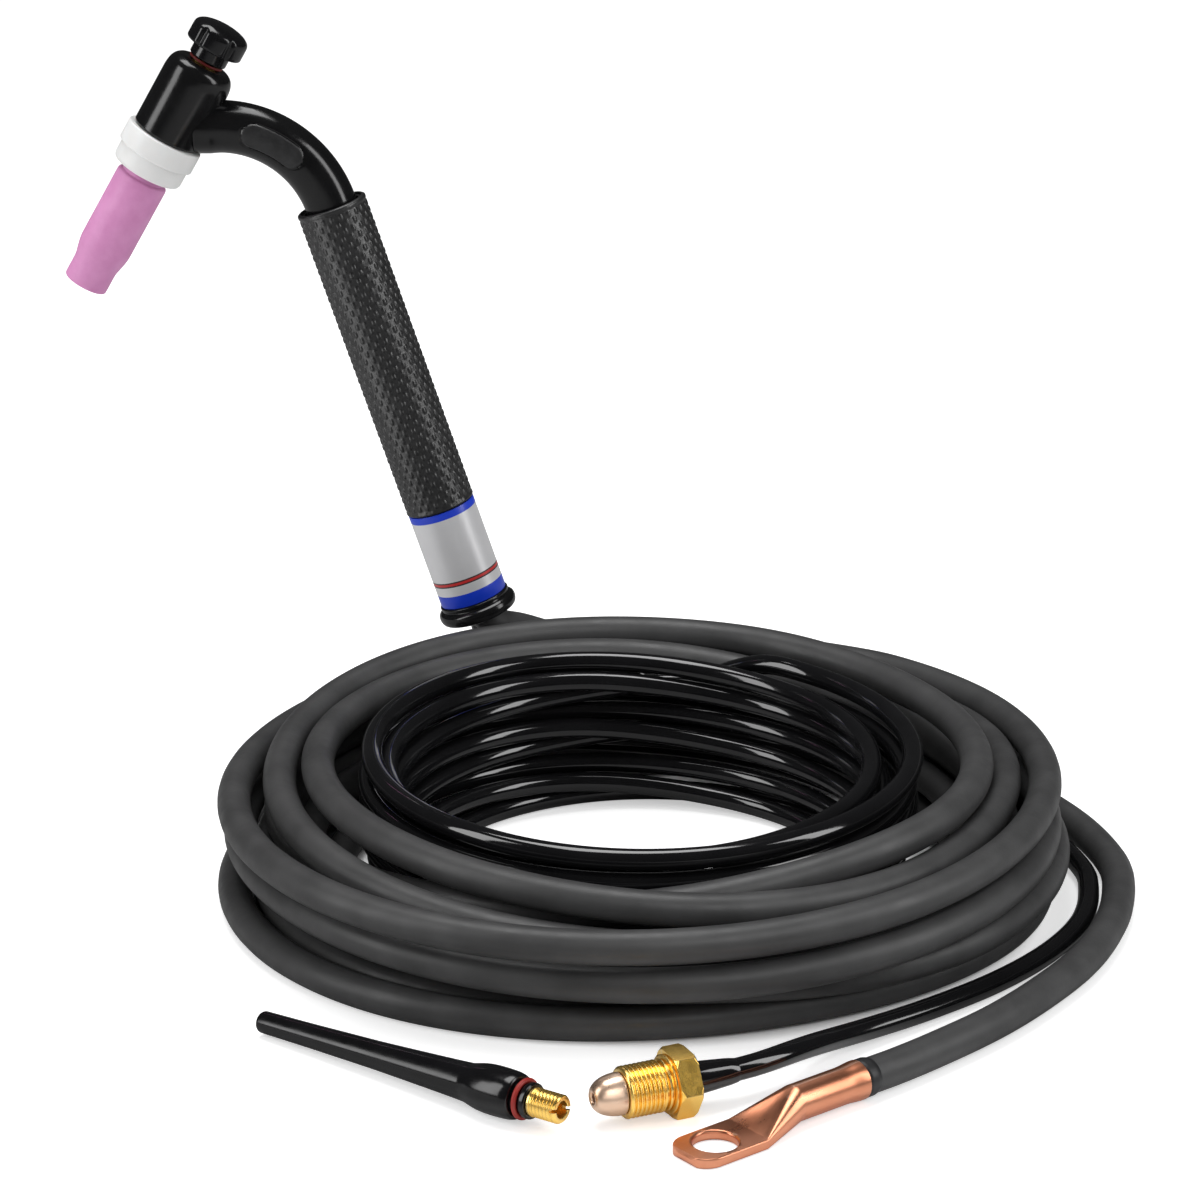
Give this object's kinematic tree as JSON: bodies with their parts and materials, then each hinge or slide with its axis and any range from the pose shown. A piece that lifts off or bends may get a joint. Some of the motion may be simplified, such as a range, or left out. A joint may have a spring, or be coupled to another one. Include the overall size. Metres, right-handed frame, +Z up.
{
  "type": "tig welding torch with leads",
  "caption": "Air-cooled TIG torch with flexible neck, ceramic nozzle and short back cap, on a coiled power cable and gas hose ending in a lug and a threaded fitting, with a spare long back cap.",
  "frame": {"origin": "on the floor, at the middle of the whole set's box seen from above; the coil's own centre is at X 17 mm, Y 32 mm", "axes": "+Z up; the torch stands in a plane of constant Y behind the coil and its head leans towards -X; the cable lug and the gas fitting point towards -Y"},
  "size_m": [0.3676, 0.3538, 0.2734],
  "materials": {
    "cable_rubber": "matte",
    "hose_vinyl": "gloss",
    "grip_rubber": "matte, dimpled",
    "moulded_cover": "satin gloss",
    "handle_plastic": "satin",
    "label_silver": "satin",
    "insulator_white": "satin",
    "alumina_pink": "matte",
    "brass": "machined",
    "bronze": "polished",
    "copper": "brushed",
    "seal_red": "satin",
    "tungsten": "ground"
  },
  "bodies": {
    "base": {"handle_tube": "handle_plastic", "grip_sleeve": "grip_rubber", "label_band": "label_silver", "handle_grommet": "moulded_cover", "neck_cover": "moulded_cover", "neck_tube_rear": "copper", "power_connector": "brass", "crimp_ferrule": "copper", "gas_barb": "brass", "power_cable": "cable_rubber", "gas_hose": "hose_vinyl", "cable_lug": "copper", "conductor": "copper", "lug_collar": "moulded_cover", "ball_nipple": "bronze", "hose_sleeve": "hose_vinyl"},
    "head": {"head_cover": "moulded_cover", "torch_body": "brass", "neck_tube_front": "copper", "collet_body": "brass", "insulator": "insulator_white"},
    "nozzle_body": {"nozzle": "alumina_pink"},
    "collet_group": {"collet": "copper"},
    "electrode": {"tungsten_electrode": "tungsten"},
    "back_cap": {"short_back_cap": "moulded_cover", "cap_insert": "brass", "cap_oring": "seal_red"},
    "nut": {"gas_nut": "brass"},
    "spare_cap": {"long_back_cap": "moulded_cover", "long_cap_insert": "brass", "long_cap_oring": "seal_red"}
  },
  "joints": [
    {"name": "neck_flex", "type": "hinge", "parent": "base", "child": "head", "pos_m": [-0.10376, 0.15479, 0.22722], "axis": [0, 1, 0], "range_deg": [-25, 25]},
    {"name": "nozzle_turn", "type": "hinge", "parent": "head", "child": "nozzle_body", "pos_m": [-0.14676, 0.15479, 0.2323], "axis": [0.4986, 0, 0.8668], "range_deg": [0, 720]},
    {"name": "collet_travel", "type": "slide", "parent": "head", "child": "collet_group", "axis": [0.4986, 0, 0.8668], "range_m": [0, 0.005]},
    {"name": "cap_turn", "type": "hinge", "parent": "collet_group", "child": "back_cap", "pos_m": [-0.14676, 0.15479, 0.2323], "axis": [0.4986, 0, 0.8668], "range_deg": [0, 1440]},
    {"name": "electrode_slide", "type": "slide", "parent": "collet_group", "child": "electrode", "axis": [-0.4986, 0, -0.8668], "range_m": [0, 0.012]},
    {"name": "nut_turn", "type": "hinge", "parent": "base", "child": "nut", "pos_m": [0.00214, -0.14961, 0.00953], "axis": [0.9092, 0.4163, 0], "continuous": true},
    {"name": "spare_cap_lift", "type": "slide", "parent": "base", "child": "spare_cap", "axis": [0, 0, 1], "range_m": [0, 0.1]}
  ],
  "couplings": [
    {"joint": "collet_travel", "follows": "cap_turn", "m_per_rad": 0.0001989}
  ]
}
